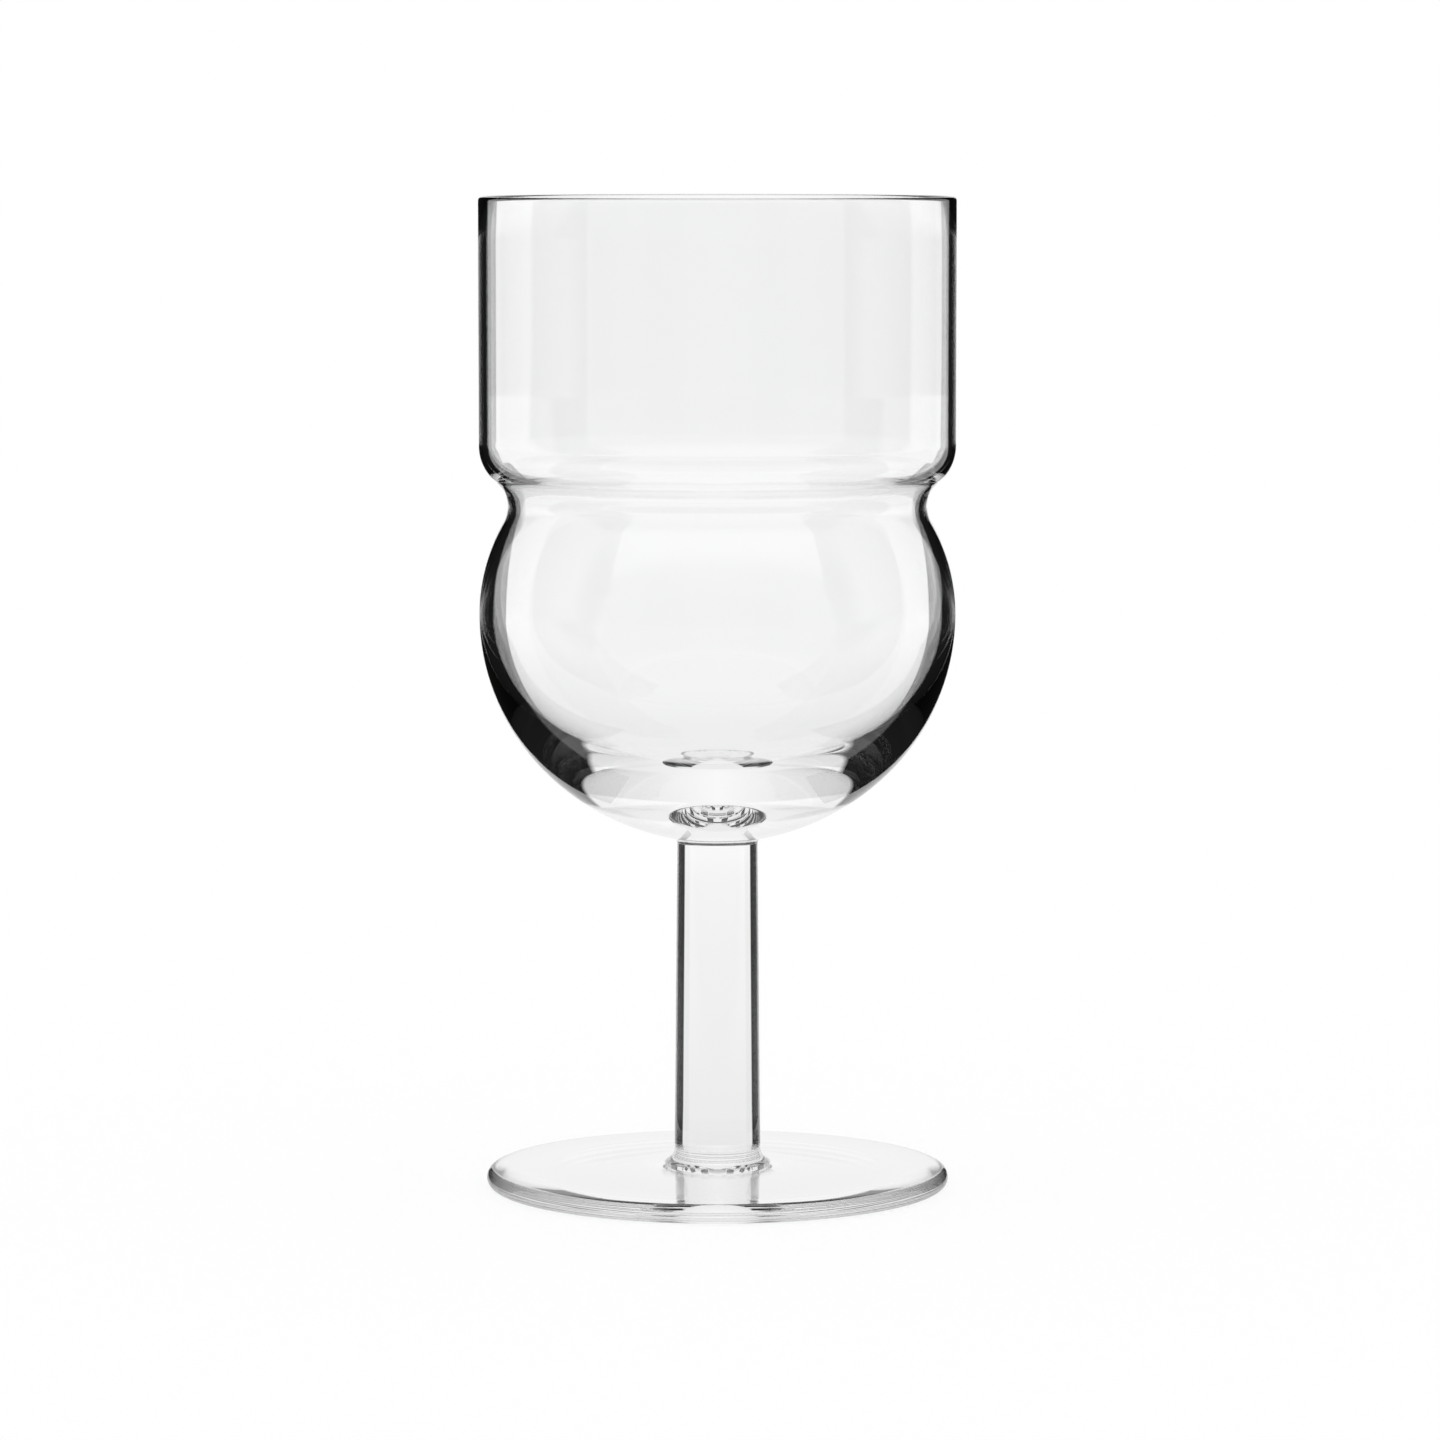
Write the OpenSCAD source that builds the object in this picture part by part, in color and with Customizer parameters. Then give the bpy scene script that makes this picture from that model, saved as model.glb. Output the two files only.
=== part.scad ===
// Clear glass goblet, one fused solid: a bowl with a straight upper part, a pinched waist and a round
// belly, on a thick round stem and a flat round foot.
// Everything is revolved about the Z axis. The origin is the centre of the foot's underside, and
// the rim is at the top.

/* [Bowl, outside] */
// Height of the whole goblet, from the table to the rim
goblet_h = 156.5; // [140:0.5:200]
// Diameter of the bowl's straight upper part
bowl_d = 75; // [68:0.5:84]
// Radius that turns the straight part in towards the waist
shoulder_r = 7.4; // [4:0.1:10]
// Depth of the groove at the waist, measured in from the straight part or the belly
waist_inset = 4.5; // [2:0.1:7]
// Radius of the groove that forms the waist
waist_r = 5; // [3:0.1:7]
// Depth of the waist below the rim
waist_depth = 48.6; // [44:0.1:52]
// How much wider the belly is than the straight upper part
belly_extra = 0; // [-6:0.5:8]
// Depth of the belly's widest place below the rim
belly_depth = 65.6; // [64:0.1:72]
// Drop from the belly's widest place to the bottom of its curve
belly_drop = 36; // [35:0.1:40]
// Angle below level at which the belly's side hands over to the broader curve of its bottom
belly_turn = 45; // [30:1:60]

/* [Bowl, inside] */
// Wall of the straight upper part
upper_wall = 1.3; // [0.9:0.05:1.8]
// Wall at the waist
waist_wall = 1.35; // [0.9:0.05:2]
// How much broader the groove is inside than a parallel wall would make it
waist_ease = 0.75; // [0:0.05:1.5]
// Wall at the belly's widest place
belly_wall = 2.1; // [1.4:0.05:3]
// Drop from the belly's widest place to the lowest point inside, above the thick glass base
floor_drop = 27.2; // [25:0.1:30]
// Angle below level at which the rounded corner inside hands over to the bowl's flatter floor
floor_turn = 70; // [60:1:76]

/* [Stem] */
// Diameter of the stem under the bowl
stem_top_d = 12.7; // [9:0.1:16]
// Diameter of the stem above the foot
stem_low_d = 13.6; // [9:0.1:16]
// Radius of the seam between bowl and stem
bowl_seam_r = 1; // [0.4:0.1:3]

/* [Foot] */
// Diameter of the foot
foot_d = 73.2; // [60:0.2:90]
// Thickness of the foot's full round edge
foot_edge = 3; // [2:0.1:4]
// Height to which the top of the foot rises at the stem
foot_crown = 4; // [3.6:0.1:7]
// Radius of the flare that carries the foot up to the stem
flare_r = 2.2; // [1:0.1:5]
// Angle of the crease where the stem was set on the flare, in degrees
crease_angle = 12; // [0:1:25]
// Diameter of the shallow hollow under the foot, inside the flat ring that the goblet stands on
hollow_d = 56; // [30:1:57]
// Depth of that hollow in the middle
hollow_depth = 1.2; // [0.3:0.1:1.8]

/* [Hidden] */
$fn = 180;

// Half widths, measured from the axis
upper_r = bowl_d / 2;
belly_r = upper_r + belly_extra / 2;
neck_r = min(upper_r, belly_r) - waist_inset;
stem_top_r = stem_top_d / 2;
stem_low_r = stem_low_d / 2;
foot_r = foot_d / 2;
edge_r = foot_edge / 2;
lip_r = upper_wall / 2;

// Heights above the table
waist_z = goblet_h - waist_depth;
belly_z = goblet_h - belly_depth;

// A horizontal band that is cut to shape reaches this far from the axis
reach = upper_r + belly_r + foot_r;
// Pieces of the section that meet share this much, so that they join into one
lap = 0.5;

// Height at which the shoulder leaves the straight part of radius r, when it is tangent to the waist
function shoulder_z(r, r_shoulder, r_neck, r_groove) =
    waist_z + sqrt(pow(r_shoulder + r_groove, 2) - pow(r_neck + r_groove - r + r_shoulder, 2));

// Radius of the arc from the waist down to the widest place, tangent to the waist and upright there
function upper_belly_r(r_neck, r_groove, r_belly) =
    (pow(r_belly - r_neck, 2) + pow(waist_z - belly_z, 2)) / (2 * (r_belly - r_neck)) - r_groove;

// How far off the axis the centre of the side arc lies, so that the bottom arc takes over at the turn
function side_centre(r_belly, drop, turn) = (r_belly - drop) / (1 + tan(turn) - 1 / cos(turn));

// Height, on the way from centre a to centre b, of the point at distance d from a
function height_between(a, b, d) = a.y + (b.y - a.y) * d / norm(b - a);

// The part of the half section between two heights, measured from the axis
module band(z0, z1, r = reach) {
    polygon([[0, z0], [r, z0], [r, z1], [0, z1]]);
}

// Half section of a wall that bulges out: from the axis to the arc, between two heights
module bulging(centre, r, z0, z1) {
    intersection() {
        band(z0, z1);
        union() {
            translate(centre) circle(r);
            if (centre.x > 0) band(z0, z1, centre.x);
        }
    }
}

// Half section of a wall that curves in: from the axis to the arc, between two heights
module pinched(centre, r, z0, z1) {
    difference() {
        band(z0, z1, centre.x);
        translate(centre) circle(r);
    }
}

// Half section of the bowl's outside or inside, from the bottom of its curve up to the height top_z
module bowl_outline(top_z, r_top, r_shoulder, r_neck, r_groove, r_belly, drop, turn) {
    z_shoulder = shoulder_z(r_top, r_shoulder, r_neck, r_groove);
    r_over = upper_belly_r(r_neck, r_groove, r_belly);
    shoulder = [r_top - r_shoulder, z_shoulder];
    groove = [r_neck + r_groove, waist_z];
    over = [r_belly - r_over, belly_z];
    side = [side_centre(r_belly, drop, turn), belly_z];
    r_side = r_belly - side.x;
    bottom = [0, belly_z + side.x * tan(turn)];
    r_bottom = bottom.y - belly_z + drop;
    z_in = height_between(shoulder, groove, r_shoulder);
    z_out = height_between(over, groove, r_over);
    z_under = bottom.y - r_bottom * sin(turn);

    band(z_shoulder, top_z, r_top);
    bulging(shoulder, r_shoulder, z_in, z_shoulder);
    pinched(groove, r_groove, z_out, z_in);
    bulging(over, r_over, belly_z, z_out);
    bulging(side, r_side, z_under, belly_z);
    bulging(bottom, r_bottom, bottom.y - r_bottom, z_under);
}

// Outside of the bowl, up to where the round lip starts
module bowl_outside() {
    bowl_outline(goblet_h - lip_r, upper_r, shoulder_r, neck_r, waist_r,
                 belly_r, belly_drop, belly_turn);
}

// Room inside the bowl, open through the rim
module bowl_inside() {
    bowl_outline(goblet_h + lap, upper_r - upper_wall, shoulder_r - upper_wall, neck_r - waist_wall,
                 waist_r + waist_wall + waist_ease, belly_r - belly_wall, floor_drop, floor_turn);
}

// Lip of the rim, rounded over the whole wall
module lip() {
    translate([upper_r - lip_r, goblet_h - lip_r]) circle(lip_r);
}

// Centre and radius of the curve under the bowl
bottom_z = belly_z + side_centre(belly_r, belly_drop, belly_turn) * tan(belly_turn);
bottom_r = bottom_z - belly_z + belly_drop;

// Centre of the seam's small hollow arc, tangent to the bottom of the bowl
seam = [stem_top_r + bowl_seam_r,
        bottom_z - sqrt(pow(bottom_r + bowl_seam_r, 2) - pow(stem_top_r + bowl_seam_r, 2))];
seam_top_z = height_between([0, bottom_z], seam, bottom_r);

// The top of the foot is a straight line that touches the round edge and rises to the crown
edge = [foot_r - edge_r, edge_r];
crown = [stem_low_r, foot_crown];
crown_run = norm(crown - edge);
top_normal = atan2(crown.y - edge.y, crown.x - edge.x) - acos(edge_r / crown_run);
edge_top = edge + edge_r * [cos(top_normal), sin(top_normal)];
top_slope = 90 - top_normal;

// Centre of the flare, tangent to the top of the foot, and the crease where the stem starts
flare_x = stem_low_r + flare_r * cos(crease_angle);
flare = [flare_x, crown.y - (flare_x - crown.x) * tan(top_slope) + flare_r / cos(top_slope)];
flare_end = flare - flare_r * [sin(top_slope), cos(top_slope)];
stem_low_z = flare.y + flare_r * sin(crease_angle);

// Stem, tapering slightly upwards, with the seam that joins it to the bowl
module stem_section() {
    polygon([[0, stem_low_z], [stem_low_r, stem_low_z], [stem_top_r, seam.y], [0, seam.y]]);
    pinched(seam, bowl_seam_r, seam.y, seam_top_z);
}

// Foot with its round edge, gently rising top and flare
module foot_section() {
    translate(edge) circle(edge_r);
    polygon([[0, 0], [edge.x, 0], edge, edge_top, flare_end, [0, flare_end.y]]);
    difference() {
        polygon([[0, flare_end.y], flare_end, flare, [flare.x, stem_low_z], [0, stem_low_z]]);
        translate(flare) circle(flare_r);
    }
}

// Shallow hollow under the foot, a slice of a large sphere
module underside_hollow() {
    hollow_r = hollow_d / 2;
    cap_r = (pow(hollow_r, 2) + pow(hollow_depth, 2)) / (2 * hollow_depth);
    intersection() {
        translate([0, hollow_depth - cap_r]) circle(cap_r);
        translate([0, -lap]) square([hollow_r, hollow_depth + 2 * lap]);
    }
}

// The whole goblet, revolved in one piece
module goblet() {
    color([0.86, 0.9, 0.9, 0.35])
    rotate_extrude()
    union() {
        difference() {
            bowl_outside();
            bowl_inside();
        }
        lip();
        stem_section();
        difference() {
            foot_section();
            underside_hollow();
        }
    }
}

goblet();
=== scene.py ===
# %% [markdown]
# # A clear glass goblet in a bright-field studio
#
# The real object is one piece of clear, colourless glass: a bowl with a straight upper part, a
# pinched waist and a round belly, on a thick solid stem and a flat round foot. Glass has hardly any
# look of its own. What the eye reads is the white backdrop bent through it, and the dark edges
# where its walls turn the view away to the dark sides of the studio. So this lesson is about three
# things: a smooth mesh, an honest glass shader, and a studio set that gives the glass its outline.

from math import atan2, cos, degrees, hypot, pi, radians, sin, sqrt, tan

import bpy
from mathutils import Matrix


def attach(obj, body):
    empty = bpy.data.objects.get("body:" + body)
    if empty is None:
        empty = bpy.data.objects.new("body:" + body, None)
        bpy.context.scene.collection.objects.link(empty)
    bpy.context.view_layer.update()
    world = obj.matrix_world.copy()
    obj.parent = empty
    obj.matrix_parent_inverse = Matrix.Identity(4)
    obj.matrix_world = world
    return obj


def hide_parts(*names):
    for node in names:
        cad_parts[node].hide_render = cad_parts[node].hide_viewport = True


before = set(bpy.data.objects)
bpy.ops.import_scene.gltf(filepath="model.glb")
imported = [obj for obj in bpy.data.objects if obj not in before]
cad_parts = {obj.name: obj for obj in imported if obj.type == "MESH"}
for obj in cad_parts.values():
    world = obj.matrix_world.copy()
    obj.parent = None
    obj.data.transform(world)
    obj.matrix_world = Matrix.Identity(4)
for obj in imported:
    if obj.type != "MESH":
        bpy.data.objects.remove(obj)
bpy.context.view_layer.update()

# %% [markdown]
# ## The sizes of the goblet
#
# Every size is a real one, in millimetres, and is the same as in the solid model. Blender works in
# metres, so one factor turns them at the very end, when a point is placed.

# %% Driving sizes
MM = 0.001

GOBLET_H = 156.5
BOWL_R = 37.5
SHOULDER_R = 7.4
WAIST_INSET = 4.5
WAIST_R = 5.0
WAIST_DEPTH = 48.6
BELLY_DEPTH = 65.6
BELLY_DROP = 36.0
BELLY_TURN = radians(45)

UPPER_WALL = 1.3
WAIST_WALL = 1.35
WAIST_EASE = 0.75
BELLY_WALL = 2.1
FLOOR_DROP = 27.2
FLOOR_TURN = radians(70)

STEM_TOP_R = 6.35
STEM_LOW_R = 6.8
BOWL_SEAM_R = 1.0

FOOT_R = 36.6
FOOT_EDGE_R = 1.5
FOOT_CROWN = 4.0
FLARE_R = 2.2
CREASE_ANGLE = radians(12)
HOLLOW_R = 28.0
HOLLOW_DEPTH = 1.2

NECK_R = BOWL_R - WAIST_INSET
WAIST_Z = GOBLET_H - WAIST_DEPTH
BELLY_Z = GOBLET_H - BELLY_DEPTH
LIP_R = UPPER_WALL / 2

# %% [markdown]
# ## The outline as a list of moves
#
# The goblet is a body of revolution, so its whole shape is one outline beside the axis. A glass
# blower's mould is cut the same way, from a few arcs that run smoothly into each other. Each arc is
# kept as its centre, its radius and the angles where it starts and ends.
# The arcs touch where the line through their two centres crosses them, which gives every joint
# without any measuring.


# %% Arcs that touch
def point_on(centre, radius, angle):
    """The point of a circle at an angle from level, in the plane of the outline."""
    return (centre[0] + radius * cos(angle), centre[1] + radius * sin(angle))


def heading(start, end):
    """The angle from level of the line from one point to another."""
    return atan2(end[1] - start[1], end[0] - start[0])


def bowl_arcs(r_top, r_shoulder, r_neck, r_groove, r_belly, drop, turn):
    """Shoulder, waist, upper belly, side and bottom of one face of the bowl, from the top down."""
    rise = sqrt((r_shoulder + r_groove) ** 2 - (r_neck + r_groove - r_top + r_shoulder) ** 2)
    shoulder = (r_top - r_shoulder, WAIST_Z + rise)
    groove = (r_neck + r_groove, WAIST_Z)
    inset = r_belly - r_neck
    r_over = (inset ** 2 + (WAIST_Z - BELLY_Z) ** 2) / (2 * inset) - r_groove
    over = (r_belly - r_over, BELLY_Z)
    side_x = (r_belly - drop) / (1 + tan(turn) - 1 / cos(turn))
    bottom = (0.0, BELLY_Z + side_x * tan(turn))
    r_bottom = bottom[1] - BELLY_Z + drop
    in_angle = heading(shoulder, groove)
    out_angle = heading(over, groove)
    return {
        "shoulder": (shoulder, r_shoulder, 0.0, in_angle),
        "groove": (groove, r_groove, pi + in_angle, pi + out_angle),
        "over": (over, r_over, out_angle, 0.0),
        "side": ((side_x, BELLY_Z), r_belly - side_x, 0.0, -turn),
        "bottom": (bottom, r_bottom, -turn, -pi / 2),
    }


outside = bowl_arcs(BOWL_R, SHOULDER_R, NECK_R, WAIST_R, BOWL_R, BELLY_DROP, BELLY_TURN)
inside = bowl_arcs(
    BOWL_R - UPPER_WALL, SHOULDER_R - UPPER_WALL, NECK_R - WAIST_WALL,
    WAIST_R + WAIST_WALL + WAIST_EASE, BOWL_R - BELLY_WALL, FLOOR_DROP, FLOOR_TURN,
)
for name, (centre, radius, start, end) in outside.items():
    print(f"{name}: radius {radius:.2f} mm, turns {degrees(end - start):.1f} degrees")

# %% [markdown]
# ## Stem and foot
#
# The stem is a plain taper. A small hollow arc seats it under the bowl, and a flare carries it into
# the foot with a fine crease, where the stem was set on while hot. The foot rises very slightly to
# the middle, has a full round edge, and stands on a flat ring round a shallow hollow.

# %% Stem and foot joints
bottom_centre, bottom_r = outside["bottom"][:2]
seam = (
    STEM_TOP_R + BOWL_SEAM_R,
    bottom_centre[1] - sqrt((bottom_r + BOWL_SEAM_R) ** 2 - (STEM_TOP_R + BOWL_SEAM_R) ** 2),
)
seam_angle = heading(bottom_centre, seam)

edge = (FOOT_R - FOOT_EDGE_R, FOOT_EDGE_R)
crown = (STEM_LOW_R, FOOT_CROWN)
run = hypot(crown[0] - edge[0], crown[1] - edge[1])
top_normal = heading(edge, crown) - (pi / 2 - atan2(FOOT_EDGE_R, sqrt(run ** 2 - FOOT_EDGE_R ** 2)))
top_slope = pi / 2 - top_normal
flare_x = STEM_LOW_R + FLARE_R * cos(CREASE_ANGLE)
flare = (flare_x, crown[1] - (flare_x - crown[0]) * tan(top_slope) + FLARE_R / cos(top_slope))
cap_r = (HOLLOW_R ** 2 + HOLLOW_DEPTH ** 2) / (2 * HOLLOW_DEPTH)
print(f"foot top slopes {degrees(top_slope):.2f} degrees, stem starts at {flare[1]:.2f} mm")

# %% [markdown]
# ## Tracing the outline in edit mode
#
# One vertex is the pencil. An arc is drawn with Spin about the arc's own centre, and a straight run
# with Extrude. That is how it would be drawn by hand, and it gives true arcs with evenly spaced
# points. Short steps on the tight arcs and longer ones on the broad arcs keep the mesh light.


# %% The pencil
def deselect_everything():
    """The CAD nodes come in selected, so nothing may be left selected before a tool is used."""
    bpy.ops.object.select_all(action="DESELECT")


def start_outline(name, at):
    """Adds a mesh with one vertex, the pencil's first place, and stays in edit mode."""
    deselect_everything()
    bpy.ops.mesh.primitive_plane_add(size=0.001, location=(0, 0, 0))
    piece = bpy.context.object
    piece.name = name
    piece.data.name = name
    bpy.ops.object.mode_set(mode="EDIT")
    bpy.ops.mesh.merge(type="CENTER")
    bpy.ops.transform.translate(value=(at[0] * MM, 0, at[1] * MM))
    return piece


def draw_arc(arc, steps):
    """Draws an arc from the pencil's place: centre, radius, start angle, end angle."""
    centre, _, start, end = arc
    bpy.ops.mesh.spin(
        steps=steps, angle=end - start, axis=(0, 1, 0),
        center=(centre[0] * MM, 0, centre[1] * MM), use_auto_merge=False,
    )


def draw_line(start, end, steps=1):
    """Draws a straight run of equal steps."""
    step = ((end[0] - start[0]) * MM / steps, 0, (end[1] - start[1]) * MM / steps)
    for _ in range(steps):
        bpy.ops.mesh.extrude_region_move(TRANSFORM_OT_translate={"value": step})


# %% How finely each run is drawn
INSIDE_STEPS = {"bottom": 26, "side": 30, "over": 18, "groove": 22, "shoulder": 14}
OUTSIDE_STEPS = {"shoulder": 16, "groove": 20, "over": 18, "side": 18, "bottom": 16}
WALL_STEPS = 6
LIP_STEPS = 12
SEAM_STEPS = 14
STEM_STEPS = 8
FLARE_STEPS = 16
FOOT_TOP_STEPS = 6
FOOT_EDGE_STEPS = 18
RING_STEPS = 2
HOLLOW_STEPS = 8

# %% Trace the inside and the lip
lip = (BOWL_R - LIP_R, GOBLET_H - LIP_R)
goblet = start_outline("goblet_glass", (0.0, BELLY_Z - FLOOR_DROP))
for name, steps in INSIDE_STEPS.items():
    centre, radius, start, end = inside[name]
    draw_arc((centre, radius, end, start), steps)
draw_line(point_on(*inside["shoulder"][:3]), (BOWL_R - UPPER_WALL, lip[1]), WALL_STEPS)
draw_arc((lip, LIP_R, pi, 0), LIP_STEPS)
print("outline points up to the lip:", len(goblet.data.vertices))

# %% Trace the outside of the bowl
draw_line((BOWL_R, lip[1]), point_on(*outside["shoulder"][:3]), WALL_STEPS)
centre, radius, start, _ = outside["bottom"]
outside["bottom"] = (centre, radius, start, seam_angle)
for name, steps in OUTSIDE_STEPS.items():
    draw_arc(outside[name], steps)
draw_arc((seam, BOWL_SEAM_R, seam_angle + pi, pi), SEAM_STEPS)
print(f"the bowl's bottom ends at the seam, {degrees(seam_angle):.1f} degrees from level")

# %% Trace the stem and the foot
flare_start = pi - CREASE_ANGLE
flare_end = 3 * pi / 2 - top_slope
draw_line((STEM_TOP_R, seam[1]), point_on(flare, FLARE_R, flare_start), STEM_STEPS)
draw_arc((flare, FLARE_R, flare_start, flare_end), FLARE_STEPS)
draw_line(
    point_on(flare, FLARE_R, flare_end), point_on(edge, FOOT_EDGE_R, top_normal), FOOT_TOP_STEPS,
)
draw_arc((edge, FOOT_EDGE_R, top_normal, -pi / 2), FOOT_EDGE_STEPS)
draw_line((edge[0], 0.0), (HOLLOW_R, 0.0), RING_STEPS)
cap_centre = (0.0, HOLLOW_DEPTH - cap_r)
draw_arc((cap_centre, cap_r, heading(cap_centre, (HOLLOW_R, 0.0)), pi / 2), HOLLOW_STEPS)
bpy.ops.object.mode_set(mode="OBJECT")
last = goblet.data.vertices[-1].co / MM
print("outline points:", len(goblet.data.vertices), "ends at", [round(c, 3) for c in last])

# %% [markdown]
# ## Spinning the glass
#
# The outline is spun once round the axis. 332 steps keep the widest ring within two thousandths of
# a millimetre of a true circle, which matters because refraction shows every facet. Spin leaves a
# doubled ring where it closes and a knot of points on the axis, so doubles are merged first, and the
# normals are set outwards after that.

# %% Spin, close and smooth
TURNS = 332
DOUBLES_WITHIN = 0.000002
SHARP_FROM = radians(25)

bpy.ops.object.mode_set(mode="EDIT")
bpy.ops.mesh.select_all(action="SELECT")
bpy.ops.mesh.spin(steps=TURNS, angle=2 * pi, axis=(0, 0, 1), center=(0, 0, 0))
bpy.ops.mesh.select_all(action="SELECT")
bpy.ops.mesh.remove_doubles(threshold=DOUBLES_WITHIN)
bpy.ops.mesh.normals_make_consistent(inside=False)
bpy.ops.object.mode_set(mode="OBJECT")
bpy.ops.object.shade_smooth_by_angle(angle=SHARP_FROM)
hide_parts("goblet")
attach(goblet, "root")
edges_used = {}
for polygon in goblet.data.polygons:
    for key in polygon.edge_keys:
        edges_used[key] = edges_used.get(key, 0) + 1
print("faces:", len(goblet.data.polygons), "open edges:", sum(n != 2 for n in edges_used.values()))

# %% [markdown]
# ## Glass
#
# Principled with full transmission is the honest shader for clear glass. The index of 1.52 is that
# of soda-lime glass, and the base colour is almost white, since it colours the light only where it
# enters or leaves. Three small things make it this glass and not a perfect one. Its skin is slightly
# wavy, as hot glass that was blown into a mould always is. The waviness is a Noise of about a
# centimetre and a height of a few thousandths of a millimetre, and some more on the stem and the
# foot, which are taken to be shaped by hand. It shows only where the glass bends the view most. The
# tint varies a touch, and the ring on which the goblet stands is a little dull from wear.
#
# Shadow rays and the light that the floor gathers pass straight through, so that the floor keeps
# only the pale shadow that real glass throws.


# %% Node helpers
def new_material(name):
    """A material with an empty node tree."""
    material = bpy.data.materials.new(name)
    material.use_nodes = True
    material.node_tree.nodes.clear()
    return material


def add(tree, kind, **values):
    """Adds a node and sets its inputs by name."""
    node = tree.nodes.new(kind)
    for key, value in values.items():
        node.inputs[key.replace("_", " ")].default_value = value
    return node


def place(tree):
    """Where the point being shaded is, in metres: as one vector, then as X, Y and Z."""
    where = tree.nodes.new("ShaderNodeTexCoord").outputs["Object"]
    axes = tree.nodes.new("ShaderNodeSeparateXYZ")
    tree.links.new(where, axes.inputs[0])
    return where, *axes.outputs


def ramp(tree, value, at, to):
    """A value that goes from to[0] to to[1] while the input goes from at[0] to at[1]."""
    node = add(tree, "ShaderNodeMapRange", From_Min=at[0], From_Max=at[1])
    tree.links.new(value, node.inputs["Value"])
    for end, name in zip(to, ("To Min", "To Max")):
        if isinstance(end, float):
            node.inputs[name].default_value = end
        else:
            tree.links.new(end, node.inputs[name])
    return node.outputs["Result"]


def maths(tree, operation, first, second=0.0):
    """One sum of two values, each a number or a socket."""
    node = tree.nodes.new("ShaderNodeMath")
    node.operation = operation
    for value, slot in ((first, 0), (second, 1)):
        if isinstance(value, float):
            node.inputs[slot].default_value = value
        else:
            tree.links.new(value, node.inputs[slot])
    return node.outputs[0]


def finish_surface(tree, shader):
    """Joins the last shader to the material's output."""
    out = tree.nodes.new("ShaderNodeOutputMaterial")
    tree.links.new(shader, out.inputs["Surface"])


# %% The glass material
WAVES_PER_METRE = 70.0
WAVE_HEIGHT = 0.000004
STEM_WAVES = 4.0
STEM_WAVES_FADE = (0.036, 0.050)
TINT_COOL = (0.997, 0.998, 0.998, 1)
TINT_GREEN = (0.994, 0.998, 0.997, 1)
RING_DULLNESS = 0.03
RING_HEIGHTS = (0.00002, 0.00015)
SHADOW_TINT = (0.96, 0.965, 0.965, 1)

glass = new_material("clear_glass")
tree = glass.node_tree
body = add(tree, "ShaderNodeBsdfPrincipled", Roughness=0.0, IOR=1.52, Transmission_Weight=1.0)
where, _, _, z = place(tree)

waves = add(tree, "ShaderNodeTexNoise", Scale=WAVES_PER_METRE, Detail=1.0, Roughness=0.4)
tree.links.new(where, waves.inputs["Vector"])
skin = add(tree, "ShaderNodeBump", Strength=1.0, Distance=WAVE_HEIGHT)
by_hand = ramp(tree, z, STEM_WAVES_FADE, (STEM_WAVES, 1.0))
tree.links.new(maths(tree, "MULTIPLY", waves.outputs[0], by_hand), skin.inputs["Height"])
tree.links.new(skin.outputs[0], body.inputs["Normal"])

tint = tree.nodes.new("ShaderNodeMix")
tint.data_type = "RGBA"
tint.inputs[6].default_value = TINT_COOL
tint.inputs[7].default_value = TINT_GREEN
tree.links.new(ramp(tree, waves.outputs[0], (0.3, 0.7), (0.0, 1.0)), tint.inputs[0])
tree.links.new(tint.outputs[2], body.inputs["Base Color"])

on_ring = ramp(tree, z, RING_HEIGHTS, (RING_DULLNESS, 0.0))
tree.links.new(on_ring, body.inputs["Roughness"])

clear = add(tree, "ShaderNodeBsdfTransparent", Color=SHADOW_TINT)
path = tree.nodes.new("ShaderNodeLightPath")
passes = maths(tree, "MAXIMUM", path.outputs["Is Shadow Ray"], path.outputs["Is Diffuse Ray"])
mix = tree.nodes.new("ShaderNodeMixShader")
tree.links.new(passes, mix.inputs[0])
tree.links.new(body.outputs[0], mix.inputs[1])
tree.links.new(clear.outputs[0], mix.inputs[2])
finish_surface(tree, mix.outputs[0])
goblet.data.materials.clear()
goblet.data.materials.append(glass)
print("glass nodes:", len(tree.nodes))

# %% [markdown]
# ## The camera
#
# A long lens about a metre away, a little above the rim and tilted slightly down, so that the rim
# is almost a line and the foot opens into an ellipse.

# %% Camera
CAMERA_DISTANCE = 0.960
CAMERA_ABOVE_RIM = CAMERA_DISTANCE * tan(radians(0.55))
CAMERA_TILT = radians(5.448)
CAMERA_ASIDE = 0.0004
LENS = 152.8
SENSOR_WIDTH = 36

deselect_everything()
bpy.ops.object.camera_add(
    location=(CAMERA_ASIDE, -CAMERA_DISTANCE, GOBLET_H * MM + CAMERA_ABOVE_RIM),
    rotation=(pi / 2 - CAMERA_TILT, 0, 0),
)
camera = bpy.context.object
camera.name = "camera"
camera.data.lens = LENS
camera.data.sensor_width = SENSOR_WIDTH
bpy.context.scene.camera = camera
print("camera at", [round(c, 4) for c in camera.location], "lens", LENS)

# %% [markdown]
# ## The set
#
# Clear glass is photographed against white, and its outline comes from black. A pair of black
# cards stands close on both sides, just behind the glass and out of the picture. The walls bend the
# view sideways only near their edges, so that is where the cards show, as dark lines. Seen in the
# glass, the floor is painted dimmer from a hand's breadth or two in front of the glass, and the room
# behind the camera is painted dimmer than the wall behind the glass.
#
# In such a series of pictures the camera and the set stay and the glass is turned on a turntable.
# Here the set hangs on an empty that keeps facing the camera, which comes to the same.

# %% The turntable
deselect_everything()
bpy.ops.object.empty_add(location=(0, 0, 0))
turntable = bpy.context.object
turntable.name = "turntable"
facing = turntable.constraints.new("LOCKED_TRACK")
facing.target = camera
facing.track_axis = "TRACK_NEGATIVE_Y"
facing.lock_axis = "LOCK_Z"


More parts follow.
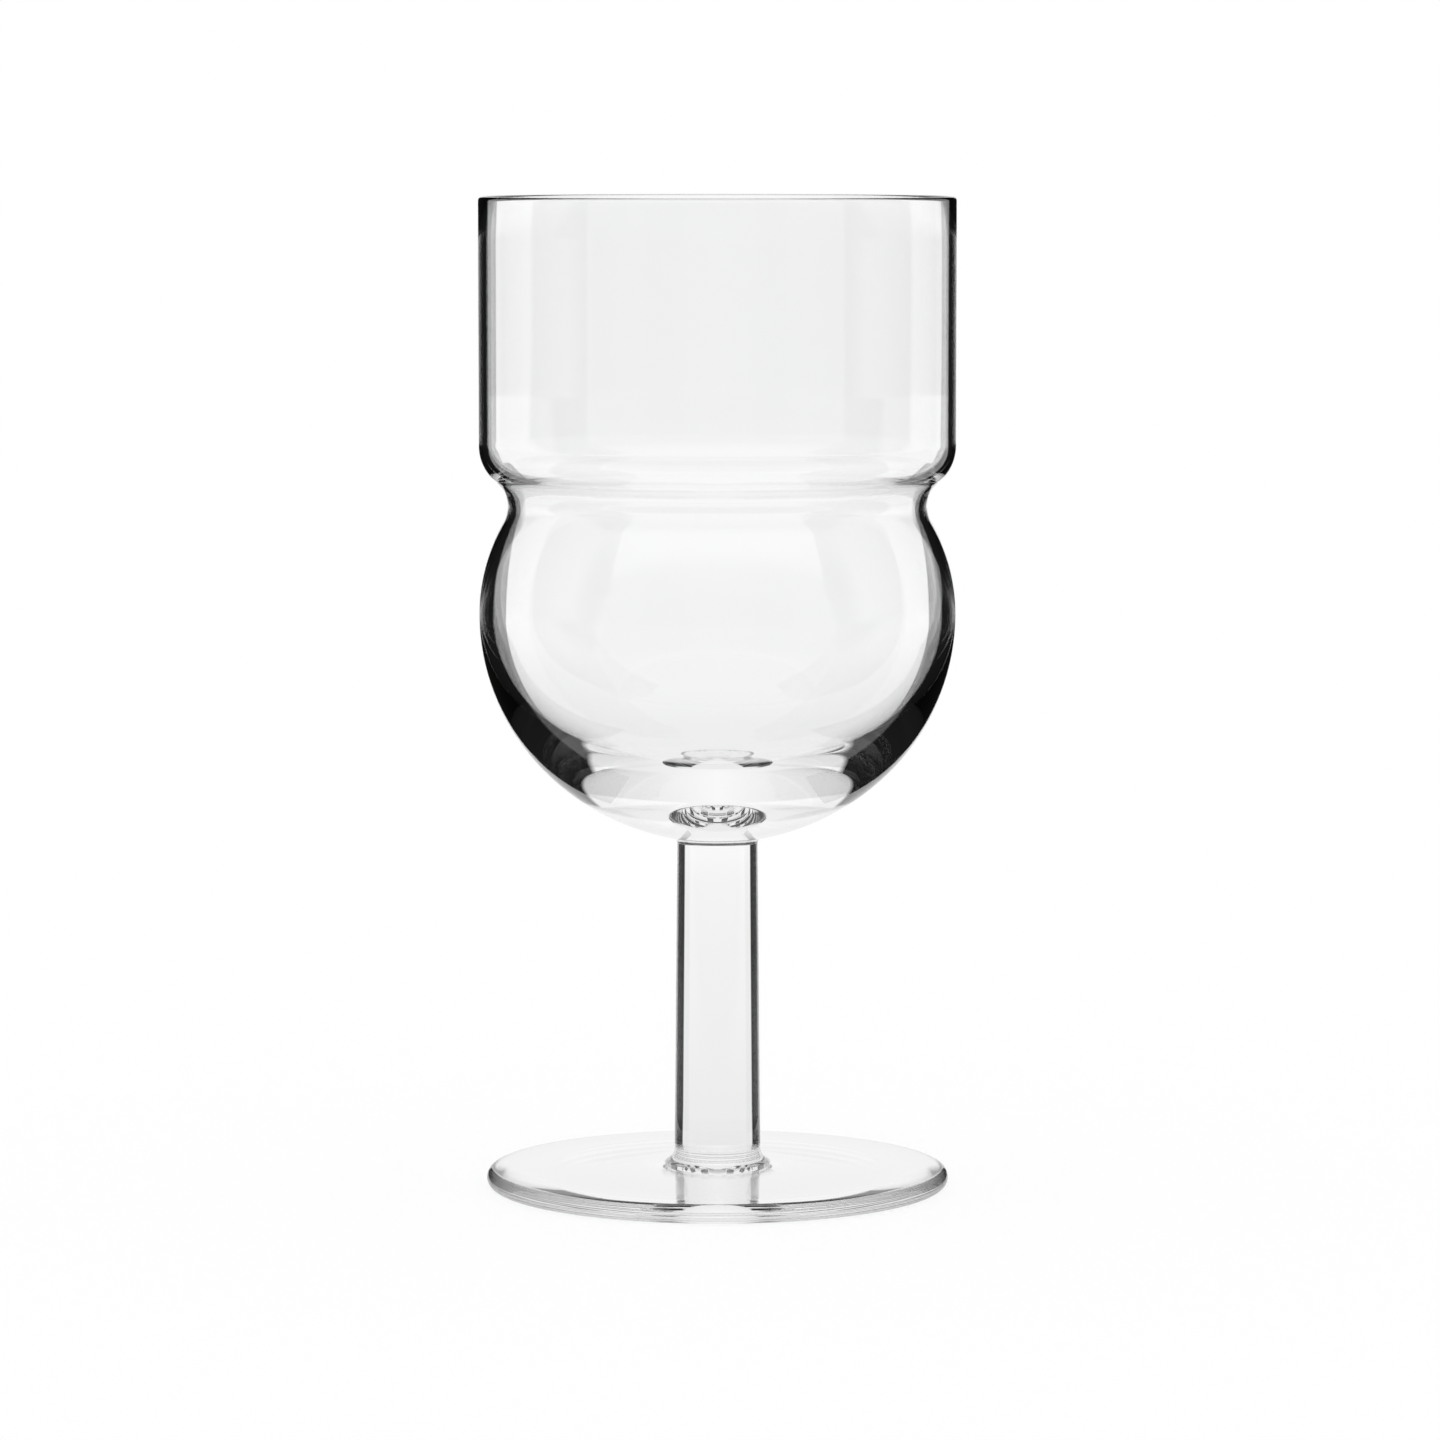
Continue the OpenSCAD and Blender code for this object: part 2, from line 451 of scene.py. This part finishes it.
def put_on_set(thing, material, hidden=True):
    """Puts a part of the set on the turntable. A hidden one shows only in the glass."""
    bpy.ops.object.transform_apply(location=True, rotation=True, scale=True)
    thing.parent = turntable
    thing.data.materials.append(material)
    if hidden:
        thing.visible_camera = False
        thing.visible_diffuse = False
        thing.visible_shadow = False


# %% [markdown]
# ## Black cards beside the glass
#
# A photographer stands a piece of black card close to each side of the glass. Here each is a single
# upright plane, because only the side that faces the glass counts. Where the card is cut, its
# material turns transparent: that is simpler than cutting the mesh, and an edge can be given any
# lean. The cards start further back from the belly upwards, and the right one is shorter behind,
# which puts the dark lines in the walls close to where the photograph has them. They are hidden from
# the camera and from the light on the floor, so nothing but the glass shows them.

# %% Black cards
CARD_ASIDE = 0.0462
CARD_HEIGHT = 0.205
CARD_LENGTH = 0.090
CARD_MIDDLE = 0.028
BLACK = (0.01, 0.01, 0.01, 1)
LEFT_TO_RIGHT = (-0.01, 0.01)

# Where the cards start and end, in Y: low down, and higher up for the left and the right one
FRONT_LOW = -0.0085
FRONT_HIGH = (0.0030, 0.0055)
FRONT_STEP = (0.083, 0.101)
FRONT_SOFT = 0.0008
REAR_LOW = 0.0560
REAR_HIGH = (0.0590, 0.0480)
REAR_STEP = (0.090, 0.130)
REAR_SOFT = 0.002

card_paper = new_material("black_card")
tree = card_paper.node_tree
_, x, y, z = place(tree)
front_high = ramp(tree, x, LEFT_TO_RIGHT, FRONT_HIGH)
from_front = maths(tree, "SUBTRACT", y, ramp(tree, z, FRONT_STEP, (FRONT_LOW, front_high)))
past_front = ramp(tree, from_front, (-FRONT_SOFT, FRONT_SOFT), (0.0, 1.0))
rear_high = ramp(tree, x, LEFT_TO_RIGHT, REAR_HIGH)
from_rear = maths(tree, "SUBTRACT", y, ramp(tree, z, REAR_STEP, (REAR_LOW, rear_high)))
before_rear = ramp(tree, from_rear, (-REAR_SOFT, REAR_SOFT), (1.0, 0.0))
matt = add(tree, "ShaderNodeEmission", Color=BLACK, Strength=1.0)
open_air = add(tree, "ShaderNodeBsdfTransparent", Color=(1, 1, 1, 1))
cover = tree.nodes.new("ShaderNodeMixShader")
tree.links.new(maths(tree, "MULTIPLY", past_front, before_rear), cover.inputs[0])
tree.links.new(open_air.outputs[0], cover.inputs[1])
tree.links.new(matt.outputs[0], cover.inputs[2])
finish_surface(tree, cover.outputs[0])

# %% Stand the cards
for side, name in ((-1, "card_left"), (1, "card_right")):
    deselect_everything()
    bpy.ops.mesh.primitive_plane_add(
        size=1, location=(side * CARD_ASIDE, CARD_MIDDLE, CARD_HEIGHT / 2), rotation=(0, pi / 2, 0),
    )
    card = bpy.context.object
    card.name = name
    bpy.ops.transform.resize(value=(1, CARD_LENGTH, CARD_HEIGHT))
    put_on_set(card, card_paper)
    print(name, "stands", side * CARD_ASIDE / MM, "mm from the axis")

# %% [markdown]
# ## The room
#
# What the glass shows beyond the table is the white wall behind it, the walls at the sides, and the
# dim room behind the camera. One wide open cylinder stands for all of them. It is painted light: a
# glow hidden from the camera, whose strength stands for how brightly each wall is lit. Its
# brightness depends on the direction from the glass, which the arctangent of X and Y gives, and
# every place in it stays below plain white.

# %% The room round the table
ROOM_RADIUS = 3
ROOM_HEIGHT = 3
WHITE_WALL = (0.965, 0.80)
SIDES = 0.86
DIM_END = (0.42, 0.22)
CEILING = 0.85

deselect_everything()
bpy.ops.mesh.primitive_cylinder_add(
    vertices=96, radius=ROOM_RADIUS, depth=ROOM_HEIGHT, end_fill_type="NOTHING",
    location=(0, 0, ROOM_HEIGHT / 2),
)
room = bpy.context.object
room.name = "room"
room_light = new_material("room_glow")
tree = room_light.node_tree
_, x, y, z = place(tree)
# Painted light: the glow in each direction stands for how brightly that wall is lit, and it is dim
# behind the camera
aside = maths(tree, "ARCTAN2", maths(tree, "ABSOLUTE", x), y)
wall = ramp(tree, aside, (0.0, radians(35)), WHITE_WALL)
sides = ramp(tree, aside, (radians(80), radians(95)), (wall, SIDES))
dim_end = ramp(tree, z, (0.0, 1.2), DIM_END)
around = ramp(tree, aside, (radians(104), radians(114)), (sides, dim_end))
level = ramp(tree, z, (1.0, 3.0), (around, CEILING))
glow = tree.nodes.new("ShaderNodeEmission")
tree.links.new(level, glow.inputs["Strength"])
finish_surface(tree, glow.outputs[0])
put_on_set(room, room_light)
print("room wall", ROOM_RADIUS, "m from the axis, nodes:", len(tree.nodes))

# %% [markdown]
# ## Table and floor
#
# The floor is plain, pale and matt, and catches the goblet's soft shadow. The glass and its
# reflections see the same floor as a sheet of painted light instead, as glass on a lit table shows
# it: painted shade close to the foot, brightest about a metre away, and dimmer in front, from a
# hand's breadth or two before the glass. Light Path tells the two apart.


# %% Table and floor
FLOOR_RADIUS = 6
FLOOR_Z = -0.0001
AT_FOOT = 0.83
FURTHER_OUT = (((0.04, 0.2), 0.90), ((0.2, 0.5), 0.98), ((0.5, 1.0), 1.0), ((1.1, 2.0), 0.955))
FRONT_DIM_SPAN = (-0.20, -0.11)
FRONT_DIM_LEVEL = 0.50
PAPER = (0.8, 0.8, 0.8, 1)
PAPER_LIFT = 0.2


def seen_in_glass(tree):
    """One where the ray comes through the glass or off its surface, and nothing elsewhere."""
    path = tree.nodes.new("ShaderNodeLightPath")
    return maths(tree, "MAXIMUM", path.outputs["Is Transmission Ray"], path.outputs["Is Glossy Ray"])


deselect_everything()
bpy.ops.mesh.primitive_circle_add(
    vertices=128, radius=FLOOR_RADIUS, fill_type="NGON", location=(0, 0, FLOOR_Z),
)
floor = bpy.context.object
floor.name = "floor"
paper = new_material("white_sweep")
tree = paper.node_tree
_, x, y, _ = place(tree)
squares = maths(tree, "ADD", maths(tree, "MULTIPLY", x, x), maths(tree, "MULTIPLY", y, y))
from_foot = maths(tree, "SQRT", squares)
# Painted light that only the glass sees: painted shade near the foot, brightest about a metre out
sheet = AT_FOOT
for span, tone in FURTHER_OUT:
    sheet = ramp(tree, from_foot, span, (sheet, tone))
seen_through = tree.nodes.new("ShaderNodeEmission")
# Painted shade in front of the glass, seen only in the glass
tree.links.new(ramp(tree, y, FRONT_DIM_SPAN, (FRONT_DIM_LEVEL, sheet)), seen_through.inputs["Strength"])
matt = add(tree, "ShaderNodeBsdfDiffuse", Color=PAPER)
lift = add(tree, "ShaderNodeEmission", Color=(1, 1, 1, 1), Strength=PAPER_LIFT)
plain = tree.nodes.new("ShaderNodeAddShader")
tree.links.new(matt.outputs[0], plain.inputs[0])
tree.links.new(lift.outputs[0], plain.inputs[1])
mix = tree.nodes.new("ShaderNodeMixShader")
tree.links.new(seen_in_glass(tree), mix.inputs[0])
tree.links.new(plain.outputs[0], mix.inputs[1])
tree.links.new(seen_through.outputs[0], mix.inputs[2])
finish_surface(tree, mix.outputs[0])
put_on_set(floor, paper, hidden=False)
print("floor", 2 * FLOOR_RADIUS, "m across, nodes:", len(tree.nodes))

# %% [markdown]
# ## World and view
#
# An even white world lights the floor and the goblet, and the floor adds a little light of its own.
# Through the glass the world counts as a ceiling, which is a little darker than the wall. The view
# is Standard, so that a colour comes out as it is written.
#
# The bounces are held at 14, two more than Blender gives by itself. With 40 the light that wanders
# on inside the thick wall came out white, where the photograph is black, and 14 matched it best of
# what was tried. Why the real glass is dark there wasn't found out: small faults in it, or a faint
# tint over such a long way, would both do it.

# %% World
world = bpy.data.worlds.new("studio")
bpy.context.scene.world = world
world.use_nodes = True
tree = world.node_tree
tree.nodes.clear()
sky = add(tree, "ShaderNodeBackground", Color=(1, 1, 1, 1))
tree.links.new(ramp(tree, seen_in_glass(tree), (0.0, 1.0), (1.0, CEILING)), sky.inputs["Strength"])
out = tree.nodes.new("ShaderNodeOutputWorld")
tree.links.new(sky.outputs[0], out.inputs["Surface"])
print("world nodes:", len(tree.nodes))

# %% View and bounces
BOUNCES = 14

scene = bpy.context.scene
scene.view_settings.view_transform = "Standard"
scene.cycles.max_bounces = BOUNCES
scene.cycles.transmission_bounces = BOUNCES
scene.cycles.glossy_bounces = BOUNCES
scene.cycles.transparent_max_bounces = BOUNCES
print("view", scene.view_settings.view_transform, "with", BOUNCES, "bounces")
